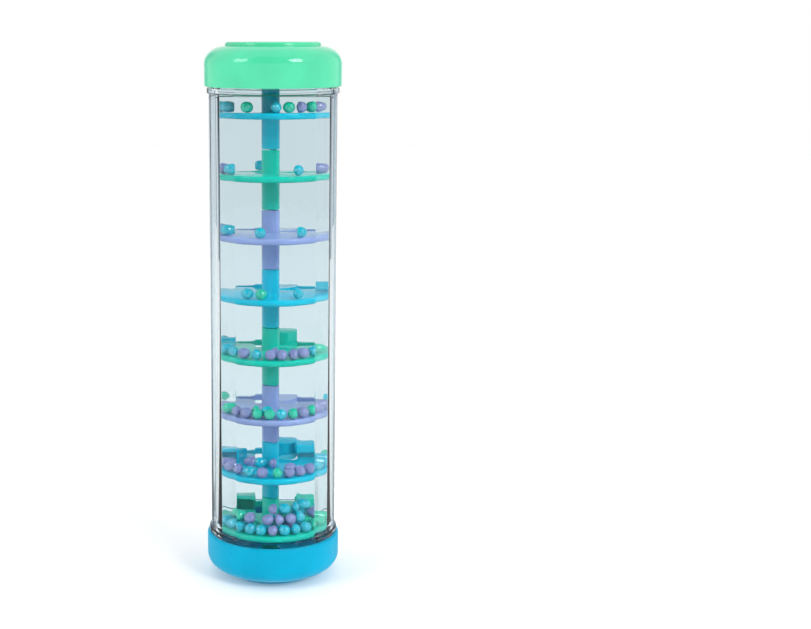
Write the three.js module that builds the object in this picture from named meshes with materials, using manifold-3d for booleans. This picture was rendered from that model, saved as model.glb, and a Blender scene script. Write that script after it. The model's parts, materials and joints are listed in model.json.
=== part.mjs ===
// Bead rainstick: a clear tube closed by two caps, with eight tier discs on a central post
// and loose beads that trickle from tier to tier when the tube is turned over.
// Millimetres, +Z up, origin at the middle of the bottom cap's resting face.
// The front of the object looks along -Y.

import * as THREE from 'three';
import { mergeVertices } from 'three/addons/utils/BufferGeometryUtils.js';
import Module from 'manifold-3d';

const wasm = await Module();
wasm.setup();

// Whole object
const TOTAL_HEIGHT = 203;
const FIT_GAP = 0.3;

// Sides of each round shape
const CAP_SIDES = 32;
const TUBE_SIDES = 48;
const DISC_SIDES = 24;
const SECTOR_SIDES = 4;

// End caps, both the same moulding turned end for end
const CAP_RADIUS = 25.4;
const CAP_HEIGHT = 16.2;
const CAP_WALL = 2.2;
const CAP_RIM_CHAMFER = 0.5;
const SHOULDER_WIDTH = 8;
const SHOULDER_DROP = 6.4;
const SHOULDER_STEPS = 4;
const FOOT_RADIUS = 17.7;
const FOOT_HEIGHT = 1.5;

// Clear tube: round outside, a polygon inside
const TUBE_RADIUS = 23.85;
const FLANGE_RADIUS = 24.6;
const FLANGE_THICKNESS = 2.2;
const SPIGOT_RADIUS = 22.9;
const SPIGOT_LENGTH = 7;
const BORE_SIDES = 18;
const BORE_CORNER_RADIUS = 22.1;
const BORE_TURN = 3;

// Tiers: a disc with half of the post above it and half below
const TIER_COUNT = 8;
const TIER_PITCH = 22.65;
const TOP_TIER_HEIGHT = 178.2;
const DISC_RADIUS = 20.3;
const DISC_THICKNESS = 2.3;
const DISC_EDGE = 0.7;
const POST_RADIUS = 3.6;
const UPPER_POST_LENGTH = 8.85;
const PEG_RADIUS = 2;
const PEG_LENGTH = 3;

// Slots of every disc and the hollow scoops that some discs carry at the rim. Angles are in degrees
// from the back, clockwise from above. A scoop covers its span and is open at the span's first end.
const SLOT_INNER_RADIUS = 6.4;
const RIM_INNER_RADIUS = 18.4;
const SLOTS = [[-44, -4], [30, 62]];
const SCOOP_INNER_RADIUS = 13;
const SCOOP_HEIGHT = 5.2;
const SCOOP_ROOF_DROP = 0.9;
const SCOOP_WALL = 1.1;
const SCOOP_ROUNDING = 0.6;
const SCOOP_END_WALL = 4;

// Spans of the scoops of each tier, from the top tier down
const TIER_SCOOPS = [
  [],
  [],
  [],
  [],
  [[8, 26]],
  [],
  [[-84, -66], [8, 26], [37, 55]],
  [[-47, -29], [37, 55]],
];

// How low a slot's cutter reaches, from the top face of a disc
const CUT_BOTTOM = -2 * DISC_THICKNESS;

// Beads
const BEAD_RADIUS = 2;
const BEAD_REST_GAP = 0.1;
const FRONT_ROW = 18.5;
const BEAD_DETAIL = 1;

// Roughness of each kind of surface
const SATIN = 0.35;
const MOULDED = 0.3;
const POLISHED = 0.2;
const BEAD_POLISH = 0.15;
const CLEAR = 0.1;

const COLOURS = {
  mint: '#78ebb4',
  cyan: '#00b4dc',
  blue: '#12b4dc',
  green: '#14c8a5',
  lilac: '#9ba5dc',
  clear: '#c8d7e1',
};
const TIER_COLOURS = ['blue', 'green', 'lilac', 'blue', 'green', 'lilac', 'blue', 'green'];
const BEAD_COLOURS = { c: 'cyan', g: 'green', l: 'lilac' };

// Rows of beads on each tier: where the row starts and steps, in degrees from the front towards
// the right, and one letter for the colour of each bead
const BEAD_ROWS = [
  [
    { start: -76, step: 15, beads: 'cc' },
    { start: -30, step: 33.5, beads: 'gc' },
    { start: 17.5, step: 15, beads: 'gl' },
  ],
  [{ start: -69, step: 14, beads: 'lc' }, { start: 29, step: 41, beads: 'cl' }],
  [{ start: -77, step: 14, beads: 'lc' }, { start: -14, step: 47, beads: 'cc' }],
  [{ start: -30, step: 17, beads: 'cg' }, { start: 29, step: 60, beads: 'cc' }],
  [{ start: -50, step: 15.5, beads: 'clc' }, { start: -3, step: 13.2, beads: 'llll' }],
  [{ start: -46, step: 14, beads: 'llgg' }, { start: 9.5, step: 13.5, beads: 'cgl' }],
  [{ start: -44, step: 16, beads: 'lcl' }, { start: 5, step: 13.8, beads: 'glll' }],
  [{ start: -41, step: 13.6, beads: 'ccclcccg' }],
];

// Vertices closer than this are one vertex
const MERGE_DISTANCE = 1e-4;

const degrees = THREE.MathUtils.degToRad;

function toSolid(geometry) {
  geometry.deleteAttribute('normal');
  geometry.deleteAttribute('uv');
  const merged = mergeVertices(geometry, MERGE_DISTANCE);
  return new wasm.Manifold(new wasm.Mesh({
    numProp: 3,
    vertProperties: new Float32Array(merged.attributes.position.array),
    triVerts: new Uint32Array(merged.index.array),
  }));
}

function toGeometry(solid) {
  const mesh = solid.getMesh();
  const geometry = new THREE.BufferGeometry();
  geometry.setAttribute('position', new THREE.BufferAttribute(mesh.vertProperties, mesh.numProp));
  geometry.setIndex(new THREE.BufferAttribute(mesh.triVerts, 1));
  geometry.computeVertexNormals();
  return geometry;
}

// A solid turned about Z from [radius, height] points that start and end on the axis
function turned(points, sides) {
  const profile = points.map(([radius, height]) => new THREE.Vector2(radius, height));
  return new THREE.LatheGeometry(profile, sides).rotateX(Math.PI / 2);
}

function namedMesh(name, geometry, colour, roughness = MOULDED) {
  const material = new THREE.MeshStandardMaterial({ color: COLOURS[colour], roughness, metalness: 0 });
  const mesh = new THREE.Mesh(geometry, material);
  mesh.name = name;
  return mesh;
}

// Corner of a cap in section: a quarter ellipse from the foot out to the side wall
function shoulder(footRadius, base, width, drop) {
  const points = [];
  for (let step = 0; step <= SHOULDER_STEPS; step += 1) {
    const turn = (Math.PI / 2) * (step / SHOULDER_STEPS);
    points.push([footRadius + width * Math.sin(turn), base + drop * (1 - Math.cos(turn))]);
  }
  return points;
}

// A cap standing on its foot: outside surface, rim, then the hollow inside
function capProfile(insideEnd) {
  const seatRadius = SPIGOT_RADIUS + FIT_GAP;
  const ledge = CAP_HEIGHT - SPIGOT_LENGTH;
  const floor = FOOT_HEIGHT + CAP_WALL;
  const shoulderStart = CAP_RADIUS - SHOULDER_WIDTH;
  const outside = shoulder(shoulderStart, FOOT_HEIGHT, SHOULDER_WIDTH, SHOULDER_DROP);
  const innerWidth = SHOULDER_WIDTH - CAP_WALL;
  const innerDrop = ledge - floor;
  const inside = shoulder(shoulderStart - CAP_WALL, floor, innerWidth, innerDrop).reverse();
  return [
    [0, 0],
    [FOOT_RADIUS - CAP_RIM_CHAMFER, 0],
    [FOOT_RADIUS, CAP_RIM_CHAMFER],
    [FOOT_RADIUS, FOOT_HEIGHT],
    ...outside.slice(1),
    [CAP_RADIUS, CAP_HEIGHT - CAP_RIM_CHAMFER],
    [CAP_RADIUS - CAP_RIM_CHAMFER, CAP_HEIGHT],
    [seatRadius, CAP_HEIGHT],
    [seatRadius, ledge],
    ...inside,
    ...insideEnd(floor),
  ];
}

// The bottom cap carries a peg that enters the lowest post
function bottomCap(postEnd) {
  const bossTop = postEnd - FIT_GAP;
  const profile = capProfile((floor) => [
    [POST_RADIUS, floor],
    [POST_RADIUS, bossTop],
    [PEG_RADIUS, bossTop],
    [PEG_RADIUS, postEnd + PEG_LENGTH],
    [0, postEnd + PEG_LENGTH],
  ]);
  return namedMesh('bottom_cap', turned(profile, CAP_SIDES), 'cyan', SATIN);
}

// The top cap carries a socket for the peg of the highest post
function topCap(postEnd) {
  const socketMouth = TOTAL_HEIGHT - postEnd - FIT_GAP;
  const socketRadius = PEG_RADIUS + FIT_GAP;
  const socketEnd = socketMouth - PEG_LENGTH;
  const profile = capProfile((floor) => [
    [POST_RADIUS, floor],
    [POST_RADIUS, socketMouth],
    [socketRadius, socketMouth],
    [socketRadius, socketEnd],
    [0, socketEnd],
  ]);
  const mesh = namedMesh('top_cap', turned(profile, CAP_SIDES), 'mint', POLISHED);
  mesh.rotation.x = Math.PI;
  mesh.position.z = TOTAL_HEIGHT;
  return mesh;
}

function boreOutline() {
  const shape = new THREE.Shape();
  for (let side = 0; side < BORE_SIDES; side += 1) {
    const turn = degrees(BORE_TURN - 90 + (360 * side) / BORE_SIDES);
    const corner = [BORE_CORNER_RADIUS * Math.cos(turn), BORE_CORNER_RADIUS * Math.sin(turn)];
    if (side === 0) shape.moveTo(...corner);
    else shape.lineTo(...corner);
  }
  shape.closePath();
  return shape;
}

function clearTube() {
  const bottomFlange = CAP_HEIGHT + FIT_GAP;
  const topFlange = TOTAL_HEIGHT - bottomFlange;
  const bottomEnd = bottomFlange - SPIGOT_LENGTH;
  const topEnd = topFlange + SPIGOT_LENGTH;
  const outside = turned([
    [0, bottomEnd],
    [SPIGOT_RADIUS, bottomEnd],
    [SPIGOT_RADIUS, bottomFlange],
    [FLANGE_RADIUS, bottomFlange],
    [FLANGE_RADIUS, bottomFlange + FLANGE_THICKNESS],
    [TUBE_RADIUS, bottomFlange + FLANGE_THICKNESS],
    [TUBE_RADIUS, topFlange - FLANGE_THICKNESS],
    [FLANGE_RADIUS, topFlange - FLANGE_THICKNESS],
    [FLANGE_RADIUS, topFlange],
    [SPIGOT_RADIUS, topFlange],
    [SPIGOT_RADIUS, topEnd],
    [0, topEnd],
  ], TUBE_SIDES);
  const bore = new THREE.ExtrudeGeometry(boreOutline(), { depth: TOTAL_HEIGHT, bevelEnabled: false });
  return namedMesh('clear_tube', toGeometry(toSolid(outside).subtract(toSolid(bore))), 'clear', CLEAR);
}

// A closed outline between two radii and two angles counted from the back
function ringSector(innerRadius, outerRadius, fromAngle, toAngle) {
  const start = degrees(90 - fromAngle);
  const end = degrees(90 - toAngle);
  const shape = new THREE.Shape();
  shape.absarc(0, 0, outerRadius, start, end, true);
  shape.absarc(0, 0, innerRadius, end, start, false);
  shape.closePath();
  return shape;
}

// A ring sector block between two heights
function sectorBlock(innerRadius, outerRadius, [fromAngle, toAngle], bottom, top) {
  const outline = ringSector(innerRadius, outerRadius, fromAngle, toAngle);
  const depth = top - bottom;
  return new THREE.ExtrudeGeometry(outline, { depth, bevelEnabled: false, curveSegments: SECTOR_SIDES })
    .translate(0, 0, bottom);
}

// Lowers the roof of a scoop evenly from its first angle to its last
function slopeRoof(geometry, [fromAngle, toAngle]) {
  const position = geometry.attributes.position;
  for (let index = 0; index < position.count; index += 1) {
    const angle = THREE.MathUtils.radToDeg(Math.atan2(position.getX(index), position.getY(index)));
    const share = THREE.MathUtils.clamp((angle - fromAngle) / (toAngle - fromAngle), 0, 1);
    if (position.getZ(index) > 0) {
      position.setZ(index, position.getZ(index) - share * SCOOP_ROOF_DROP);
    }
  }
  return geometry;
}

// Outside of a scoop: a ring block with rounded edges that grows out of the rim
function scoopOutside(span) {
  const margin = SCOOP_WALL - SCOOP_ROUNDING;
  const outline = ringSector(SCOOP_INNER_RADIUS - margin, RIM_INNER_RADIUS + margin, ...span);
  const block = new THREE.ExtrudeGeometry(outline, {
    depth: SCOOP_HEIGHT + DISC_THICKNESS / 2 - 2 * SCOOP_ROUNDING,
    bevelThickness: SCOOP_ROUNDING,
    bevelSize: SCOOP_ROUNDING,
    bevelSegments: 1,
    curveSegments: SECTOR_SIDES,
  });
  block.translate(0, 0, SCOOP_ROUNDING - DISC_THICKNESS / 2);
  return slopeRoof(block, span);
}

// Inside of a scoop, which goes on down through the disc as a slot
function scoopHollow([fromAngle, toAngle]) {
  const hollow = [fromAngle - SCOOP_END_WALL, toAngle - SCOOP_END_WALL];
  const radii = [SCOOP_INNER_RADIUS, RIM_INNER_RADIUS];
  return slopeRoof(sectorBlock(...radii, hollow, CUT_BOTTOM, SCOOP_HEIGHT - SCOOP_WALL), hollow);
}

function tierDiscSolid(scoops) {
  const lowerPostEnd = UPPER_POST_LENGTH - TIER_PITCH;
  const socketRadius = PEG_RADIUS + FIT_GAP;
  let solid = toSolid(turned([
    [0, lowerPostEnd + FIT_GAP + PEG_LENGTH],
    [socketRadius, lowerPostEnd + FIT_GAP + PEG_LENGTH],
    [socketRadius, lowerPostEnd + FIT_GAP],
    [POST_RADIUS, lowerPostEnd + FIT_GAP],
    [POST_RADIUS, -DISC_THICKNESS],
    [DISC_RADIUS - DISC_EDGE, -DISC_THICKNESS],
    [DISC_RADIUS, DISC_EDGE - DISC_THICKNESS],
    [DISC_RADIUS, -DISC_EDGE],
    [DISC_RADIUS - DISC_EDGE, 0],
    [POST_RADIUS, 0],
    [POST_RADIUS, UPPER_POST_LENGTH],
    [PEG_RADIUS, UPPER_POST_LENGTH],
    [PEG_RADIUS, UPPER_POST_LENGTH + PEG_LENGTH],
    [0, UPPER_POST_LENGTH + PEG_LENGTH],
  ], DISC_SIDES));
  for (const span of scoops) {
    solid = solid.add(toSolid(scoopOutside(span)));
    solid = solid.subtract(toSolid(scoopHollow(span)));
  }
  for (const angles of SLOTS) {
    const slot = sectorBlock(SLOT_INNER_RADIUS, RIM_INNER_RADIUS, angles, CUT_BOTTOM, DISC_THICKNESS / 2);
    solid = solid.subtract(toSolid(slot));
  }
  return solid;
}

const tierHeight = (tier) => TOP_TIER_HEIGHT - tier * TIER_PITCH;

function addTiers(group) {
  for (let tier = 0; tier < TIER_COUNT; tier += 1) {
    const geometry = toGeometry(tierDiscSolid(TIER_SCOOPS[tier]));
    const mesh = namedMesh(`tier_disc_${tier + 1}`, geometry, TIER_COLOURS[tier]);
    mesh.position.z = tierHeight(tier);
    group.add(mesh);
  }
}

function addBeads(group) {
  const geometry = new THREE.IcosahedronGeometry(BEAD_RADIUS, BEAD_DETAIL);
  BEAD_ROWS.forEach((rows, tier) => {
    let count = 0;
    for (const { start, step, beads } of rows) {
      [...beads].forEach((letter, place) => {
        const angle = degrees(start + step * place);
        count += 1;
        const mesh = namedMesh(`bead_${tier + 1}_${count}`, geometry, BEAD_COLOURS[letter], BEAD_POLISH);
        mesh.position.set(
          FRONT_ROW * Math.sin(angle),
          -FRONT_ROW * Math.cos(angle),
          tierHeight(tier) + BEAD_RADIUS + BEAD_REST_GAP,
        );
        group.add(mesh);
      });
    }
  });
}

const rainstick = new THREE.Group();
const lowestPostEnd = tierHeight(TIER_COUNT - 1) + UPPER_POST_LENGTH - TIER_PITCH + FIT_GAP;
const highestPostEnd = tierHeight(0) + UPPER_POST_LENGTH;
rainstick.add(bottomCap(lowestPostEnd));
rainstick.add(topCap(highestPostEnd));
rainstick.add(clearTube());
addTiers(rainstick);
addBeads(rainstick);

export default rainstick;
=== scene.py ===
"""Bead rainstick: the looks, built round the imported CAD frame. Metres, +Z up, front towards -Y."""
import json
import math
import random

import bmesh
import bpy
from mathutils import Matrix, Vector


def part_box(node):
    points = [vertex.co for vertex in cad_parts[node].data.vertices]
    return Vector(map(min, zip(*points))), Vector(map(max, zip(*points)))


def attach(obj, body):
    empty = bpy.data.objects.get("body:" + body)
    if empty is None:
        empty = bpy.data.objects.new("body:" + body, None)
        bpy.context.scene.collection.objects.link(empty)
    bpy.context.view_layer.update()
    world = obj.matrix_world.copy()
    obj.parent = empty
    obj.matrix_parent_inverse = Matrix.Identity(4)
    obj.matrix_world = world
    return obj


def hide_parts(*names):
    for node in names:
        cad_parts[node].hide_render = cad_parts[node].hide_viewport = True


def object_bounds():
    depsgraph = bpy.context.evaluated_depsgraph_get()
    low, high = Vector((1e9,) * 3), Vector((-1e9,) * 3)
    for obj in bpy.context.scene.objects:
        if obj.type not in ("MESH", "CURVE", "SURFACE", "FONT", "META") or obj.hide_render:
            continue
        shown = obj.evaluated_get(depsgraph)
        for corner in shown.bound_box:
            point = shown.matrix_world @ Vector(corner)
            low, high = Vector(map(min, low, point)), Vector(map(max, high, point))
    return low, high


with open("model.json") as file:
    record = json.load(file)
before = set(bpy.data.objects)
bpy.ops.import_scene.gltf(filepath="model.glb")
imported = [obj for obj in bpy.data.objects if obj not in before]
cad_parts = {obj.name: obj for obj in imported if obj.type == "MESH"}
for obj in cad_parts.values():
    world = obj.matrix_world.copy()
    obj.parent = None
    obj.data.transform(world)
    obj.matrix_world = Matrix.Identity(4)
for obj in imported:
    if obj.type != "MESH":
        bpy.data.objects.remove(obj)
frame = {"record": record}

CAD_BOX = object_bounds()
MM = 0.001

# Sizes read from the frame
HEIGHT = CAD_BOX[1].z
CAP_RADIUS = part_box("bottom_cap")[1].x
CAP_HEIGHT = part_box("bottom_cap")[1].z
FLANGE_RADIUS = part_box("clear_tube")[1].x
TUBE_ENDS = (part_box("clear_tube")[0].z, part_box("clear_tube")[1].z)
TIER_COUNT = 8

# Sizes of features inside a node, the same as in the CAD part
FIT_GAP = 0.3 * MM
CAP_WALL = 2.2 * MM
SHOULDER_WIDTH = 8 * MM
SHOULDER_DROP = 6.4 * MM
FOOT_RADIUS = 17.7 * MM
FOOT_HEIGHT = 1.5 * MM
TUBE_RADIUS = 23.85 * MM
FLANGE_THICKNESS = 2.2 * MM
SPIGOT_RADIUS = 22.9 * MM
BORE_SIDES = 18
BORE_CORNER_RADIUS = 22.1 * MM
BORE_TURN = 3
BORE_CORNER_ROUNDING = 1.2 * MM
DISC_RADIUS = 20.3 * MM
DISC_THICKNESS = 2.3 * MM
POST_RADIUS = 3.6 * MM
POST_UP = 8.85 * MM
TIER_PITCH = 22.65 * MM
PEG_RADIUS = 2 * MM
PEG_LENGTH = 3 * MM
SLOT_RADII = (6.4 * MM, 18.4 * MM)
SLOTS = ((-44, -4), (30, 62))
SCOOP_RADII = (13 * MM, 18.4 * MM)
SCOOP_HEIGHT = 5.2 * MM
SCOOP_ROOF_DROP = 0.9 * MM
SCOOP_WALL = 1.1 * MM
SCOOP_ROUNDING = 0.6 * MM
SCOOP_END_WALL = 4
TIER_SCOOPS = {5: [(8, 26)], 7: [(-84, -66), (8, 26), (37, 55)], 8: [(-47, -29), (37, 55)]}
BEAD_RADIUS = 2 * MM
BEAD_REST_GAP = 0.1 * MM

# Sides of each turned shape
CAP_SIDES = 144
DISC_SIDES = 96
BEAD_SIDES = 28

# A radius below this is on the axis
ON_AXIS = 1e-7

# Bead rings: how far from the axis, and how much higher than the disc
FRONT_ROW = (18.5 * MM, 0.0)
SECOND_ROW = (14.3 * MM, 0.0)
UPPER_ROW = (16.4 * MM, 3.45 * MM)
TOP_ROW = (14.3 * MM, 6.9 * MM)
INNER_ROW = (10.2 * MM, 0.0)
MIDDLE_ROW = (12.3 * MM, 3.45 * MM)
POST_ROW = (7.4 * MM, 0.0)
BEAD_SLOTS = {"c": "bead_cyan", "g": "bead_green", "l": "bead_lilac"}

# Beads beyond those that are CAD nodes: ring, first angle and step in degrees from the front, colours
MORE_BEADS = {
    1: [(FRONT_ROW, 46.5, 17, "gl")],
    2: [(FRONT_ROW, 190, 17, "c")],
    5: [
        (FRONT_ROW, -66, 15, "c"),
        (FRONT_ROW, 51, 15.5, "cg"),
        (SECOND_ROW, 3, 17, "l"),
        (FRONT_ROW, -118, 16, "cc"),
    ],
    6: [
        (FRONT_ROW, -61, 15, "g"),
        (FRONT_ROW, 50, 14, "gll"),
        (SECOND_ROW, -26, 17, "gc"),
        (FRONT_ROW, -118, 16, "g"),
        (FRONT_ROW, 110, 16, "c"),
    ],
    7: [
        (FRONT_ROW, -72, 14, "ll"),
        (FRONT_ROW, 62, 14, "cccg"),
        (SECOND_ROW, 26, 17, "l"),
        (INNER_ROW, -62, 24, "l"),
        (POST_ROW, -36, 36, "cl"),
    ],
    8: [
        (FRONT_ROW, -68.2, 13.6, "cc"),
        (FRONT_ROW, 67.8, 13.6, "gg"),
        (SECOND_ROW, -60, 17, "gcgcclcgc"),
        (UPPER_ROW, -62, 15, "ggl"),
        (UPPER_ROW, -7, 15, "lllc"),
        (UPPER_ROW, 63, 15, "lc"),
        (INNER_ROW, 0, 24, "gcl"),
        (MIDDLE_ROW, 0, 19.5, "cgcc"),
        (TOP_ROW, 0, 18, "lccc"),
    ],
}


# ---------------------------------------------------------------- camera, stage and light

def aim(thing, target):
    direction = Vector(target) - thing.location
    thing.rotation_euler = direction.to_track_quat("-Z", "Y").to_euler()


def add_camera():
    data = bpy.data.cameras.new("camera")
    data.lens = 65.0
    data.sensor_width = 36.0
    data.shift_x = 0.1634
    data.clip_start = 0.01
    camera = bpy.data.objects.new("camera", data)
    camera.location = (0, -0.5455, 0.2061)
    camera.rotation_euler = (math.radians(90 - 10.88), 0, 0)
    bpy.context.scene.collection.objects.link(camera)
    bpy.context.scene.camera = camera


def add_softbox(name, location, target, size, energy):
    data = bpy.data.lights.new(name, "AREA")
    data.shape = "RECTANGLE"
    data.size, data.size_y = size
    data.energy = energy
    light = bpy.data.objects.new(name, data)
    light.location = location
    bpy.context.scene.collection.objects.link(light)
    aim(light, target)


def add_lights():
    middle = (0, 0, HEIGHT / 2)
    add_softbox("left_softbox", (-2.9, -1.7, 2.1), middle, (1.4, 1.4), 30)
    add_softbox("right_softbox", (2.0, -2.2, 2.0), middle, (1.2, 1.2), 50)


def add_world():
    """White studio, dark above the horizon in front for gloss to show, and grey low down in a stretch to
    each side of the back for the tube's clear edges to show. The camera itself sees only white."""
    world = bpy.data.worlds.new("studio")
    bpy.context.scene.world = world
    world.use_nodes = True
    tree = world.node_tree
    background = tree.nodes["Background"]
    place = tree.nodes.new("ShaderNodeTexCoord")
    split = tree.nodes.new("ShaderNodeSeparateXYZ")
    tree.links.new(place.outputs["Generated"], split.inputs[0])
    level = tree.nodes.new("ShaderNodeCombineXYZ")
    tree.links.new(split.outputs["X"], level.inputs["X"])
    tree.links.new(split.outputs["Y"], level.inputs["Y"])
    bearing = tree.nodes.new("ShaderNodeVectorMath")
    bearing.operation = "NORMALIZE"
    tree.links.new(level.outputs[0], bearing.inputs[0])
    compass = tree.nodes.new("ShaderNodeSeparateXYZ")
    tree.links.new(bearing.outputs["Vector"], compass.inputs[0])
    sideways = tree.nodes.new("ShaderNodeMath")
    sideways.operation = "ABSOLUTE"
    tree.links.new(compass.outputs["X"], sideways.inputs[0])
    from_middle = smooth_range(tree, sideways.outputs[0], 0.32, 0.40)
    short_of_side = smooth_range(tree, sideways.outputs[0], 0.68, 0.60)
    behind = smooth_range(tree, compass.outputs["Y"], 0.0, 0.1)
    back_band = multiply(tree, multiply(tree, from_middle, short_of_side), behind)
    front_band = smooth_range(tree, compass.outputs["Y"], -0.5, -0.85)
    low = smooth_range(tree, split.outputs["Z"], 0.55, 0.3)
    below_top = smooth_range(tree, split.outputs["Z"], 0.97, 0.75)
    above_horizon = smooth_range(tree, split.outputs["Z"], 0.12, 0.3)
    front_reach = multiply(tree, below_top, above_horizon)
    path = tree.nodes.new("ShaderNodeLightPath")
    unseen = tree.nodes.new("ShaderNodeMath")
    unseen.operation = "SUBTRACT"
    unseen.inputs[0].default_value = 1
    tree.links.new(path.outputs["Is Camera Ray"], unseen.inputs[1])
    colour = None
    stretches = (
        (front_band, front_reach, (0.05, 0.07, 0.1, 1)),
        (back_band, low, (0.36, 0.45, 0.55, 1)),
    )
    for band, reach, dim_colour in stretches:
        mix = tree.nodes.new("ShaderNodeMix")
        mix.data_type = "RGBA"
        share = multiply(tree, multiply(tree, band, reach), unseen.outputs[0])
        tree.links.new(share, mix.inputs["Factor"])
        mix.inputs["A"].default_value = (1, 1, 1, 1)
        if colour:
            tree.links.new(colour, mix.inputs["A"])
        mix.inputs["B"].default_value = dim_colour
        colour = mix.outputs["Result"]
    tree.links.new(colour, background.inputs["Color"])
    background.inputs["Strength"].default_value = 1.0


def smooth_range(tree, value, start, end):
    node = tree.nodes.new("ShaderNodeMapRange")
    node.interpolation_type = "SMOOTHSTEP"
    node.inputs["From Min"].default_value = start
    node.inputs["From Max"].default_value = end
    tree.links.new(value, node.inputs["Value"])
    return node.outputs["Result"]


def multiply(tree, first, second):
    node = tree.nodes.new("ShaderNodeMath")
    node.operation = "MULTIPLY"
    tree.links.new(first, node.inputs[0])
    tree.links.new(second, node.inputs[1])
    return node.outputs[0]


def add_floor():
    """A round floor that ends in the white of the world."""
    reach = 2.2
    sides = 96
    mesh = bpy.data.meshes.new("floor")
    rim = [(reach * math.cos(2 * math.pi * side / sides), reach * math.sin(2 * math.pi * side / sides), 0)
           for side in range(sides)]
    mesh.from_pydata(rim, [], [range(sides)])
    floor = bpy.data.objects.new("floor", mesh)
    floor.location.z = -0.05 * MM
    # Gloss doesn't show the white paper
    floor.visible_glossy = False
    bpy.context.scene.collection.objects.link(floor)
    material, tree, shader = new_material("floor_paper")
    colour = noise_colour(tree, (0.95, 0.95, 0.95), (0.97, 0.97, 0.97), 3.0)
    tree.links.new(colour, shader.inputs["Base Color"])
    shader.inputs["Roughness"].default_value = 0.9
    shader.inputs["Emission Color"].default_value = (1, 1, 1, 1)
    shader.inputs["Emission Strength"].default_value = 0.12
    floor.data.materials.append(material)


# ---------------------------------------------------------------- materials

def new_material(name):
    material = bpy.data.materials.new(name)
    material.use_nodes = True
    tree = material.node_tree
    return material, tree, tree.nodes["Principled BSDF"]


def object_noise(tree, scale, detail=2.0, stretch=(1, 1, 1)):
    place = tree.nodes.new("ShaderNodeTexCoord")
    mapping = tree.nodes.new("ShaderNodeMapping")
    mapping.inputs["Scale"].default_value = stretch
    noise = tree.nodes.new("ShaderNodeTexNoise")
    noise.inputs["Scale"].default_value = scale
    noise.inputs["Detail"].default_value = detail
    tree.links.new(place.outputs["Object"], mapping.inputs["Vector"])
    tree.links.new(mapping.outputs["Vector"], noise.inputs["Vector"])
    return noise.outputs["Fac"]


def value_range(tree, value, low, high):
    """A noise value, which keeps mostly between 0.3 and 0.7, spread from low to high."""
    node = tree.nodes.new("ShaderNodeMapRange")
    node.inputs["From Min"].default_value = 0.3
    node.inputs["From Max"].default_value = 0.7
    node.inputs["To Min"].default_value = low
    node.inputs["To Max"].default_value = high
    tree.links.new(value, node.inputs["Value"])
    return node.outputs["Result"]


def noise_colour(tree, first, second, scale):
    mix = tree.nodes.new("ShaderNodeMix")
    mix.data_type = "RGBA"
    mix.inputs["A"].default_value = (*first, 1)
    mix.inputs["B"].default_value = (*second, 1)
    tree.links.new(value_range(tree, object_noise(tree, scale), 0, 1), mix.inputs["Factor"])
    return mix.outputs["Result"]


def add_bump(tree, shader, height, strength, distance):
    bump = tree.nodes.new("ShaderNodeBump")
    bump.inputs["Strength"].default_value = strength
    bump.inputs["Distance"].default_value = distance
    tree.links.new(height, bump.inputs["Height"])
    tree.links.new(bump.outputs["Normal"], shader.inputs["Normal"])


def shaded(colour, share):
    return tuple(min(1.0, part * share) for part in colour)


def moulded_plastic(name, colour, roughness, glow=0.0, flow=70, grain=1500, grain_depth=0.012,
                    shine=0.5, coat=0.0):
    """Moulded plastic: faint colour flow, uneven gloss and a very fine surface grain.

    flow and grain are noise scales, grain_depth is in millimetres, and glow, shine and coat are the
    shares of light scattered inside, of reflection, and of a clear skin."""
    material, tree, shader = new_material(name)
    mixed = noise_colour(tree, shaded(colour, 0.92), shaded(colour, 1.07), flow)
    tree.links.new(mixed, shader.inputs["Base Color"])
    gloss = value_range(tree, object_noise(tree, 4 * flow, 4), roughness * 0.8, roughness * 1.3)
    tree.links.new(gloss, shader.inputs["Roughness"])
    shader.inputs["IOR"].default_value = 1.5
    shader.inputs["Specular IOR Level"].default_value = shine
    shader.inputs["Coat Weight"].default_value = coat
    shader.inputs["Coat Roughness"].default_value = 0.04
    shader.inputs["Coat IOR"].default_value = 1.9
    shader.inputs["Subsurface Weight"].default_value = glow
    shader.inputs["Subsurface Radius"].default_value = (1.0, 1.0, 1.0)
    shader.inputs["Subsurface Scale"].default_value = 2.5 * MM
    add_bump(tree, shader, object_noise(tree, grain, 3), 0.25, grain_depth * MM)
    return material


def tier_plastic(name, colour):
    """Glossy, slightly see-through disc and post."""
    return moulded_plastic(name, colour, roughness=0.07, glow=0.4, shine=0.3)


def bead_plastic(name, colour):
    """Polished bead: the same plastic at a finer scale, under a bright clear skin."""
    return moulded_plastic(name, colour, roughness=0.1, glow=0.05, flow=250, grain=3000,
                           grain_depth=0.004, coat=0.7)


def clear_plastic():
    """Clear styrene with a faint grey-blue tint. Rays from lamps pass straight through it."""
    material, tree, shader = new_material("tube_clear")
    shader.inputs["Base Color"].default_value = (0.755, 0.835, 0.86, 1)
    shader.inputs["Transmission Weight"].default_value = 1
    # Reflects weakly head on and fully at the edges, so that the walls don't veil what is inside
    shader.inputs["Specular Tint"].default_value = (0.12, 0.2, 0.32, 1)
    shader.inputs["IOR"].default_value = 1.49
    gloss = value_range(tree, object_noise(tree, 900, 3, (1, 1, 0.1)), 0.0, 0.03)
    tree.links.new(gloss, shader.inputs["Roughness"])
    add_bump(tree, shader, object_noise(tree, 160, 2, (1, 1, 0.08)), 0.05, 0.05 * MM)
    clear = tree.nodes.new("ShaderNodeBsdfTransparent")
    clear.inputs["Color"].default_value = (0.90, 0.94, 0.96, 1)
    path = tree.nodes.new("ShaderNodeLightPath")
    mix = tree.nodes.new("ShaderNodeMixShader")
    output = tree.nodes["Material Output"]
    tree.links.new(path.outputs["Is Shadow Ray"], mix.inputs["Fac"])
    tree.links.new(shader.outputs["BSDF"], mix.inputs[1])
    tree.links.new(clear.outputs["BSDF"], mix.inputs[2])
    tree.links.new(mix.outputs["Shader"], output.inputs["Surface"])
    return material


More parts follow.
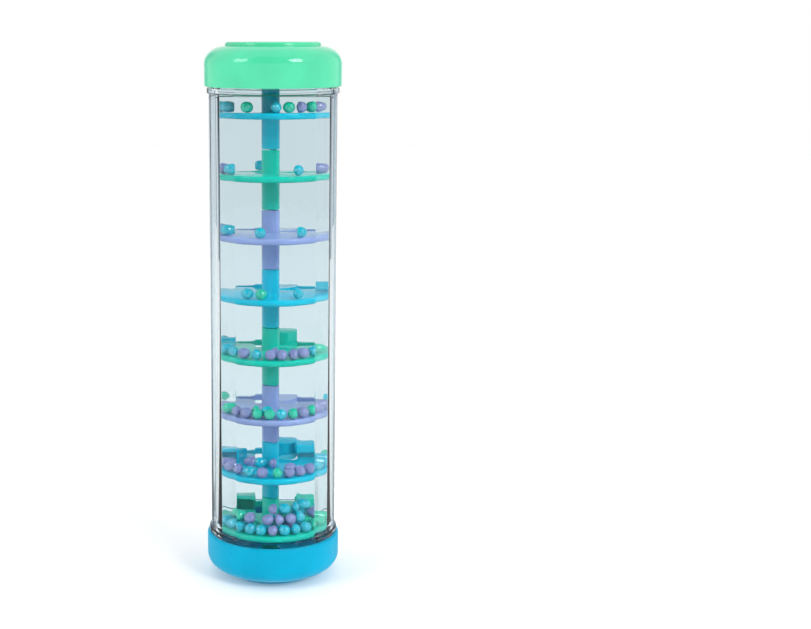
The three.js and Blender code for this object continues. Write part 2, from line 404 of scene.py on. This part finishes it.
def make_materials():
    return {
        "cap_mint": moulded_plastic("cap_mint", (0.075, 0.67, 0.365), roughness=0.13, glow=0.1),
        "cap_cyan": moulded_plastic("cap_cyan", (0.0, 0.40, 0.63), roughness=0.34, grain=2500,
                                    grain_depth=0.02, shine=0.1),
        "tube_clear": clear_plastic(),
        "tier_blue": tier_plastic("tier_blue", (0.001, 0.54, 0.70)),
        "tier_green": tier_plastic("tier_green", (0.003, 0.60, 0.44)),
        "tier_lilac": tier_plastic("tier_lilac", (0.35, 0.40, 0.70)),
        "bead_cyan": bead_plastic("bead_cyan", (0.0, 0.50, 0.62)),
        "bead_green": bead_plastic("bead_green", (0.0, 0.60, 0.37)),
        "bead_lilac": bead_plastic("bead_lilac", (0.27, 0.27, 0.53)),
    }


# ---------------------------------------------------------------- shapes

def new_piece(name, mesh, material, slot_name, body, *nodes):
    piece = bpy.data.objects.new(name, mesh)
    bpy.context.scene.collection.objects.link(piece)
    mesh.materials.append(material)
    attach(piece, body)
    if nodes:
        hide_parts(*nodes)
    return piece


def smooth_by_angle(mesh, degrees):
    mesh.shade_smooth()
    mesh.set_sharp_from_angle(angle=math.radians(degrees))


def rounded(corners, steps=4):
    """[radius, height, rounding] corners of a profile as [radius, height] points, each corner an arc."""
    points = []
    last = len(corners) - 1
    for index, (radius, height, rounding) in enumerate(corners):
        corner = Vector((radius, height))
        if rounding == 0 or index in (0, last):
            points.append(corner)
            continue
        before = (Vector(corners[index - 1][:2]) - corner).normalized()
        after = (Vector(corners[index + 1][:2]) - corner).normalized()
        half = before.angle(after) / 2
        reach = rounding / math.tan(half)
        centre = corner + (before + after).normalized() * (rounding / math.sin(half))
        start = corner + before * reach - centre
        turn = start.angle_signed(corner + after * reach - centre)
        for step in range(steps + 1):
            share = step / steps
            angle = -turn * share
            points.append(centre + Matrix.Rotation(angle, 2) @ start)
    return points


def turned_mesh(name, points, sides, sharp=30):
    """A closed mesh turned about Z from a profile that starts and ends on the axis."""
    mesh = bpy.data.meshes.new(name)
    build = bmesh.new()
    rings = []
    for radius, height in points:
        if radius < ON_AXIS:
            rings.append([build.verts.new((0, 0, height))])
            continue
        ring = []
        for side in range(sides):
            angle = 2 * math.pi * side / sides
            ring.append(build.verts.new((radius * math.cos(angle), radius * math.sin(angle), height)))
        rings.append(ring)
    for below, above in zip(rings, rings[1:]):
        for side in range(sides):
            onward = (side + 1) % sides
            if len(below) == 1:
                build.faces.new((below[0], above[onward], above[side]))
            elif len(above) == 1:
                build.faces.new((below[side], below[onward], above[0]))
            else:
                build.faces.new((below[side], below[onward], above[onward], above[side]))
    bmesh.ops.recalc_face_normals(build, faces=build.faces)
    build.to_mesh(mesh)
    build.free()
    smooth_by_angle(mesh, sharp)
    return mesh


def shoulder(start, base, width, drop, steps=24):
    points = []
    for step in range(steps + 1):
        turn = math.pi / 2 * step / steps
        points.append(Vector((start + width * math.sin(turn), base + drop * (1 - math.cos(turn)))))
    return points


def cap_profile(inside_end):
    """A cap standing on its foot: outside, rim, then the hollow inside."""
    seat_radius = SPIGOT_RADIUS + FIT_GAP
    spigot_length = CAP_HEIGHT + FIT_GAP - TUBE_ENDS[0]
    ledge = CAP_HEIGHT - spigot_length
    floor = FOOT_HEIGHT + CAP_WALL
    start = CAP_RADIUS - SHOULDER_WIDTH
    foot = rounded([
        (0, 0, 0),
        (FOOT_RADIUS, 0, 1.0 * MM),
        (FOOT_RADIUS, FOOT_HEIGHT + 0.02 * MM, 0.25 * MM),
        (FOOT_RADIUS + 1.5 * MM, FOOT_HEIGHT + 0.1 * MM, 0),
    ])[:-1]
    outside = [point for point in shoulder(start, FOOT_HEIGHT, SHOULDER_WIDTH, SHOULDER_DROP)
               if point.x > FOOT_RADIUS + 0.6 * MM]
    rim = rounded([
        (CAP_RADIUS, CAP_HEIGHT - 3 * MM, 0),
        (CAP_RADIUS, CAP_HEIGHT, 0.6 * MM),
        (seat_radius, CAP_HEIGHT, 0.3 * MM),
        (seat_radius, ledge, 0),
    ])
    inside = shoulder(start - CAP_WALL, floor, SHOULDER_WIDTH - CAP_WALL, ledge - floor)
    return foot + outside + rim + inside[::-1] + rounded(inside_end(floor))


def add_bottom_cap(materials):
    post_end = tier_top(TIER_COUNT) + POST_UP - TIER_PITCH + FIT_GAP
    boss_top = post_end - FIT_GAP
    profile = cap_profile(lambda floor: [
        (POST_RADIUS + 1 * MM, floor, 0),
        (POST_RADIUS, floor, 0.3 * MM),
        (POST_RADIUS, boss_top, 0.3 * MM),
        (PEG_RADIUS, boss_top, 0),
        (PEG_RADIUS, post_end + PEG_LENGTH, 0.3 * MM),
        (0, post_end + PEG_LENGTH, 0),
    ])
    mesh = turned_mesh("bottom_cap_fine", profile, CAP_SIDES)
    new_piece("bottom_cap_fine", mesh, materials["cap_cyan"], "cap_cyan", "root", "bottom_cap")


def add_top_cap(materials):
    socket_mouth = HEIGHT - (tier_top(1) + POST_UP) - FIT_GAP
    socket_radius = PEG_RADIUS + FIT_GAP
    profile = cap_profile(lambda floor: [
        (POST_RADIUS + 1 * MM, floor, 0),
        (POST_RADIUS, floor, 0.3 * MM),
        (POST_RADIUS, socket_mouth, 0.3 * MM),
        (socket_radius, socket_mouth, 0),
        (socket_radius, socket_mouth - PEG_LENGTH, 0),
        (0, socket_mouth - PEG_LENGTH, 0),
    ])
    mesh = turned_mesh("top_cap_fine", profile, CAP_SIDES)
    mesh.transform(Matrix.Translation((0, 0, HEIGHT)) @ Matrix.Rotation(math.pi, 4, "X"))
    new_piece("top_cap_fine", mesh, materials["cap_mint"], "cap_mint", "root", "top_cap")


def bore_directions():
    """(angle, radius) of the bore's outline: flats with slightly rounded corners."""
    flat_angle = 180 / BORE_SIDES
    apothem = BORE_CORNER_RADIUS * math.cos(math.radians(flat_angle))
    centre = (apothem - BORE_CORNER_ROUNDING) / math.cos(math.radians(flat_angle))
    touch = math.degrees(math.atan2(centre * math.sin(math.radians(flat_angle)), apothem))
    offsets = (-flat_angle, -touch, -0.6 * touch, -0.2 * touch, 0.2 * touch, 0.6 * touch, touch)
    outline = []
    for side in range(BORE_SIDES):
        middle = BORE_TURN - 90 + flat_angle + 2 * flat_angle * side
        for offset in offsets:
            radius = apothem / math.cos(math.radians(offset))
            if offset == -flat_angle:
                radius = centre + BORE_CORNER_ROUNDING
            outline.append((math.radians(middle + offset), radius))
    return outline


def add_tube(materials):
    outline = bore_directions()
    bottom_flange = CAP_HEIGHT + FIT_GAP
    top_flange = HEIGHT - bottom_flange
    outside = rounded([
        (BORE_CORNER_RADIUS, TUBE_ENDS[0], 0),
        (SPIGOT_RADIUS, TUBE_ENDS[0], 0.3 * MM),
        (SPIGOT_RADIUS, bottom_flange, 0),
        (FLANGE_RADIUS, bottom_flange, 0.5 * MM),
        (FLANGE_RADIUS, bottom_flange + FLANGE_THICKNESS, 0.6 * MM),
        (TUBE_RADIUS, bottom_flange + FLANGE_THICKNESS, 0.15 * MM),
        (TUBE_RADIUS, top_flange - FLANGE_THICKNESS, 0.15 * MM),
        (FLANGE_RADIUS, top_flange - FLANGE_THICKNESS, 0.6 * MM),
        (FLANGE_RADIUS, top_flange, 0.5 * MM),
        (SPIGOT_RADIUS, top_flange, 0),
        (SPIGOT_RADIUS, TUBE_ENDS[1], 0.3 * MM),
        (BORE_CORNER_RADIUS, TUBE_ENDS[1], 0),
    ])[1:-1]
    build = bmesh.new()
    rings = []
    for point in outside:
        rings.append([build.verts.new((point.x * math.cos(angle), point.x * math.sin(angle), point.y))
                      for angle, _ in outline])
    for height in (TUBE_ENDS[1], TUBE_ENDS[0]):
        rings.append([build.verts.new((radius * math.cos(angle), radius * math.sin(angle), height))
                      for angle, radius in outline])
    rings.append(rings[0])
    for below, above in zip(rings, rings[1:]):
        for index in range(len(outline)):
            onward = (index + 1) % len(outline)
            build.faces.new((below[index], below[onward], above[onward], above[index]))
    bmesh.ops.recalc_face_normals(build, faces=build.faces)
    mesh = bpy.data.meshes.new("clear_tube_fine")
    build.to_mesh(mesh)
    build.free()
    smooth_by_angle(mesh, 15)
    new_piece("clear_tube_fine", mesh, materials["tube_clear"], "tube_clear", "root", "clear_tube")


def tier_top(tier):
    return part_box(f"tier_disc_{tier}")[1].z - POST_UP - PEG_LENGTH


def sector_prism(name, radii, angles, bottom, top, drop=0.0, steps=14):
    """A closed block between two radii and two angles from the back; its roof falls by drop."""
    build = bmesh.new()
    columns = []
    for step in range(steps + 1):
        share = step / steps
        angle = math.radians(angles[0] + (angles[1] - angles[0]) * share)
        across, back = math.sin(angle), math.cos(angle)
        roof = top - drop * share
        columns.append([build.verts.new((radius * across, radius * back, height))
                        for radius, height in ((radii[0], bottom), (radii[1], bottom),
                                               (radii[1], roof), (radii[0], roof))])
    for near, far in zip(columns, columns[1:]):
        for index in range(4):
            onward = (index + 1) % 4
            build.faces.new((near[index], near[onward], far[onward], far[index]))
    build.faces.new(columns[0])
    build.faces.new(columns[-1][::-1])
    bmesh.ops.recalc_face_normals(build, faces=build.faces)
    mesh = bpy.data.meshes.new(name)
    build.to_mesh(mesh)
    build.free()
    block = bpy.data.objects.new(name, mesh)
    bpy.context.scene.collection.objects.link(block)
    return block


def apply_modifiers(thing):
    """The thing's mesh with its modifiers applied."""
    bpy.context.view_layer.update()
    depsgraph = bpy.context.evaluated_depsgraph_get()
    mesh = bpy.data.meshes.new_from_object(thing.evaluated_get(depsgraph))
    thing.modifiers.clear()
    thing.data = mesh
    return mesh


def combine(thing, tool, operation):
    modifier = thing.modifiers.new(operation.lower(), "BOOLEAN")
    modifier.operation = operation
    modifier.solver = "EXACT"
    modifier.object = tool
    apply_modifiers(thing)
    bpy.data.objects.remove(tool)


def round_edges(thing, width, degrees):
    modifier = thing.modifiers.new("edges", "BEVEL")
    modifier.width = width
    modifier.segments = 2
    modifier.limit_method = "ANGLE"
    modifier.angle_limit = math.radians(degrees)
    modifier.use_clamp_overlap = True
    apply_modifiers(thing)


def add_scoop(tier, span):
    """Raise one hollow scoop from the rim, open at its first end, with a slot below it."""
    base = -DISC_THICKNESS / 2
    # The rounding stands out past the span by as much as the CAD part's does
    reach = math.degrees(SCOOP_ROUNDING / (sum(SCOOP_RADII) / 2))
    outer_radii = (SCOOP_RADII[0] - SCOOP_WALL, SCOOP_RADII[1] + SCOOP_WALL)
    outer_span = (span[0] - reach, span[1] + reach)
    block = sector_prism("scoop", outer_radii, outer_span, base, SCOOP_HEIGHT, SCOOP_ROOF_DROP)
    round_edges(block, SCOOP_ROUNDING, 40)
    combine(tier, block, "UNION")
    inner_span = (span[0] - SCOOP_END_WALL, span[1] - SCOOP_END_WALL)
    roof = SCOOP_HEIGHT - SCOOP_WALL
    hollow = sector_prism("hollow", SCOOP_RADII, inner_span, -2 * DISC_THICKNESS, roof, SCOOP_ROOF_DROP)
    combine(tier, hollow, "DIFFERENCE")


def tier_mesh(scoops):
    """One tier, with its disc's top face at height 0."""
    post_end = POST_UP - TIER_PITCH + FIT_GAP
    socket_radius = PEG_RADIUS + FIT_GAP
    profile = rounded([
        (0, post_end + PEG_LENGTH, 0),
        (socket_radius, post_end + PEG_LENGTH, 0),
        (socket_radius, post_end, 0),
        (POST_RADIUS, post_end, 0.15 * MM),
        (POST_RADIUS, -DISC_THICKNESS, 0.4 * MM),
        (DISC_RADIUS, -DISC_THICKNESS, 0.8 * MM),
        (DISC_RADIUS, 0, 0.8 * MM),
        (POST_RADIUS, 0, 0.4 * MM),
        (POST_RADIUS, POST_UP, 0.15 * MM),
        (PEG_RADIUS, POST_UP, 0),
        (PEG_RADIUS, POST_UP + PEG_LENGTH, 0.3 * MM),
        (0, POST_UP + PEG_LENGTH, 0),
    ])
    mesh = turned_mesh("tier", profile, DISC_SIDES)
    tier = bpy.data.objects.new("tier", mesh)
    bpy.context.scene.collection.objects.link(tier)
    for span in scoops:
        add_scoop(tier, span)
    for angles in SLOTS:
        cutter = sector_prism("slot", SLOT_RADII, angles, -2 * DISC_THICKNESS, 0.5 * DISC_THICKNESS)
        combine(tier, cutter, "DIFFERENCE")
    mesh = tier.data
    bpy.data.objects.remove(tier)
    smooth_by_angle(mesh, 30)
    return mesh


def add_tiers(materials):
    slots = {entry["node"]: entry["material_slot"] for entry in frame["record"]["subparts"]}
    for tier in range(1, TIER_COUNT + 1):
        node = f"tier_disc_{tier}"
        mesh = tier_mesh(TIER_SCOOPS.get(tier, []))
        mesh.materials.clear()
        mesh.transform(Matrix.Translation((0, 0, tier_top(tier))))
        new_piece(f"{node}_fine", mesh, materials[slots[node]], slots[node], "root", node)


def bead_mesh():
    """A ball with a fine parting line round its middle and a small flat gate mark at one end."""
    points = []
    steps = 18
    ridge = 0.02 * MM
    for step in range(steps + 1):
        turn = math.pi * step / steps
        radius = BEAD_RADIUS * math.sin(turn)
        height = -BEAD_RADIUS * math.cos(turn)
        if step == steps // 2:
            points.append(Vector((radius, -ridge)))
            points.append(Vector((radius + ridge / 2, 0)))
            points.append(Vector((radius, ridge)))
        elif step == 0:
            points.append(Vector((0, height + ridge)))
        elif step == steps:
            points.append(Vector((0, height)))
        else:
            points.append(Vector((radius, height)))
    return turned_mesh("bead", points, BEAD_SIDES, sharp=60)


def add_bead(name, shape, centre, slot_name, body, materials, chance, *nodes):
    mesh = shape.copy()
    mesh.materials.clear()
    turn = Matrix.Rotation(chance.uniform(0, math.pi), 4, "X")
    turn = turn @ Matrix.Rotation(chance.uniform(0, math.pi), 4, "Y")
    mesh.transform(Matrix.Translation(centre) @ turn)
    new_piece(name, mesh, materials[slot_name], slot_name, body, *nodes)


def add_beads(materials):
    slots = {entry["node"]: entry["material_slot"] for entry in frame["record"]["subparts"]}
    shape = bead_mesh()
    chance = random.Random(7)
    for tier in range(1, TIER_COUNT + 1):
        body = f"beads_tier_{tier}"
        for node in sorted(frame["record"]["behaviour"]["bodies"][body]):
            low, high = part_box(node)
            centre = (low + high) / 2
            add_bead(f"{node}_fine", shape, centre, slots[node], body, materials, chance, node)
        count = 0
        for (radius, lift), start, step, letters in MORE_BEADS.get(tier, []):
            for place, letter in enumerate(letters):
                count += 1
                angle = math.radians(start + step * place)
                height = tier_top(tier) + BEAD_RADIUS + BEAD_REST_GAP + lift
                centre = Vector((radius * math.sin(angle), -radius * math.cos(angle), height))
                name = f"loose_bead_{tier}_{count}"
                add_bead(name, shape, centre, BEAD_SLOTS[letter], body, materials, chance)


add_camera()
add_world()
add_lights()
add_floor()
materials = make_materials()
add_bottom_cap(materials)
add_top_cap(materials)
add_tube(materials)
add_tiers(materials)
add_beads(materials)

scene = bpy.context.scene
scene.view_settings.view_transform = "Standard"
